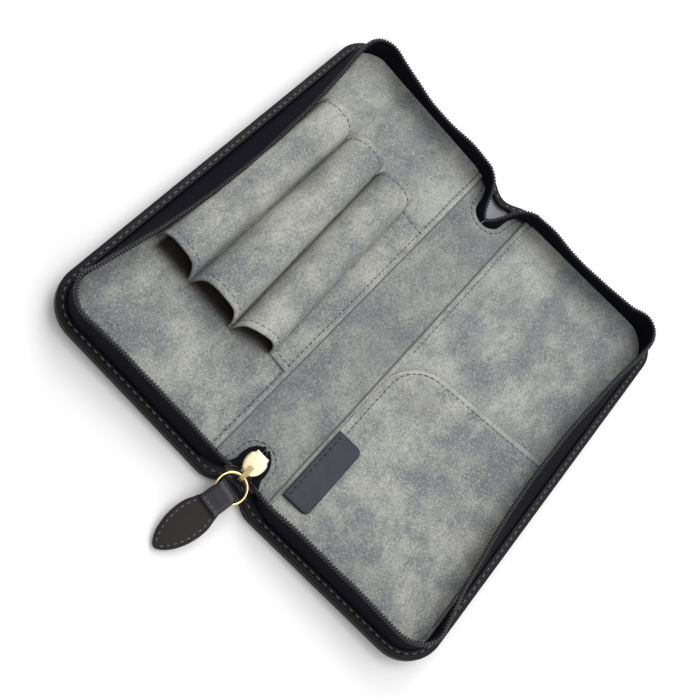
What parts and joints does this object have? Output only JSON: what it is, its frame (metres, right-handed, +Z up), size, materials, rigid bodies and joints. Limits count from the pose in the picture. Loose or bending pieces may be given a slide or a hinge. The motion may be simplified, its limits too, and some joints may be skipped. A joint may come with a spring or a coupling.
{
  "type": "fountain pen case",
  "caption": "Zip-round leather pen case, shown open: suede pen sleeves in one cover, a pocket and blank label in the other, and a slider with a ring and leather pull.",
  "frame": {"origin": "middle of the spine's underside, which rests on the table", "axes": "+Z up from the spine's underside, +Y along the pens away from the zip slider, +X across towards the cover with the pocket"},
  "size_m": [0.1738, 0.2038, 0.0182],
  "materials": {
    "outer_leather": "smooth, semi-gloss",
    "suede": "napped suede, mottled",
    "board": "raw",
    "zip_tape": "woven",
    "zip_coil": "moulded nylon",
    "label_leather": "matte",
    "gold_metal": "polished, pale gold plating",
    "pull_leather": "smooth",
    "edge_thread": "waxed",
    "lining_thread": "waxed"
  },
  "bodies": {
    "spine": {"spine_leather": "outer_leather", "spine_stiffener": "board", "spine_lining": "suede", "back_notch_facing": "suede", "front_notch_facing": "suede", "back_tape_end": "zip_tape", "front_tape_end": "zip_tape", "back_coil_end": "zip_coil", "front_coil_end": "zip_coil", "notch_stitching": "lining_thread"},
    "left_cover": {"left_cover_leather": "outer_leather", "left_cover_board": "board", "left_cover_lining": "suede", "left_zip_tape": "zip_tape", "left_zip_coil": "zip_coil", "left_edge_stitching": "edge_thread", "left_seam_stitching": "lining_thread", "pen_sleeves": "suede", "sleeve_stitching": "lining_thread"},
    "right_cover": {"right_cover_leather": "outer_leather", "right_cover_board": "board", "right_cover_lining": "suede", "right_zip_tape": "zip_tape", "right_zip_coil": "zip_coil", "right_edge_stitching": "edge_thread", "right_seam_stitching": "lining_thread", "pocket_panel": "suede", "pocket_stitching": "lining_thread", "label_tab": "label_leather", "label_stitching": "lining_thread"},
    "slider": {"slider_body": "gold_metal", "slider_bail": "gold_metal"},
    "ring": {"pull_ring": "gold_metal"},
    "pull": {"pull_strap": "pull_leather", "pull_leaf": "pull_leather", "pull_stitching": "edge_thread"}
  },
  "joints": [
    {"name": "left_cover_fold", "type": "hinge", "parent": "spine", "child": "left_cover", "pos_m": [-0.0132, 0, 0.0035], "axis": [0, 1, 0], "range_deg": [-3.1, 88.2]},
    {"name": "right_cover_fold", "type": "hinge", "parent": "spine", "child": "right_cover", "pos_m": [0.0132, 0, 0.0035], "axis": [0, -1, 0], "range_deg": [-3.1, 88.2]},
    {"name": "slider_travel", "type": "slide", "parent": "spine", "child": "slider", "axis": [0, 0.9781, 0.2079], "range_m": [0, 0.001]},
    {"name": "ring_swing", "type": "hinge", "parent": "slider", "child": "ring", "pos_m": [0, -0.08009, 0.00625], "axis": [-1, 0, 0], "range_deg": [-6, 140]},
    {"name": "pull_swing", "type": "hinge", "parent": "ring", "child": "pull", "pos_m": [-0.00067, -0.08944, 0.00527], "axis": [-0.9877, 0.1556, 0.0164], "range_deg": [-30, 30]}
  ]
}
